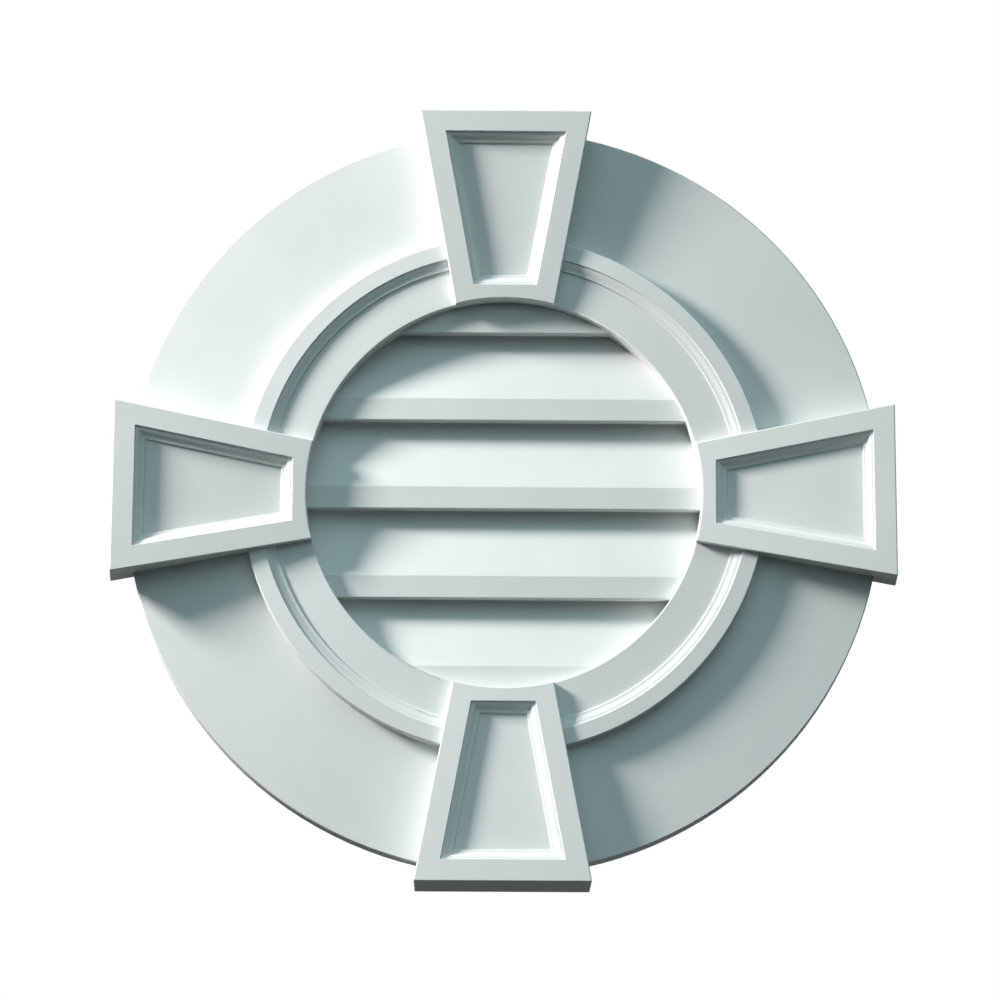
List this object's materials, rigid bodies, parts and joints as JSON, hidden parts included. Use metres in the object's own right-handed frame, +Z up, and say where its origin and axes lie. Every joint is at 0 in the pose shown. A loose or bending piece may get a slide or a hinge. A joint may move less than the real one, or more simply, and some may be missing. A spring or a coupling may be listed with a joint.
{
  "type": "gable vent",
  "caption": "Round louvred gable vent with a flat surround, a raised moulded ring and panelled keystones, moulded in one piece to fix over a wall opening",
  "frame": {"origin": "on the wall plane, at the centre of the round louvred opening", "axes": "+Y into the wall, -Y is the way the front faces, +X to the right seen from the front, +Z up"},
  "size_m": [0.8128, 0.0666, 0.8128],
  "materials": {
    "primed_foam": "satin primed"
  },
  "bodies": {
    "root": {"vent_body": "primed_foam"}
  },
  "joints": []
}
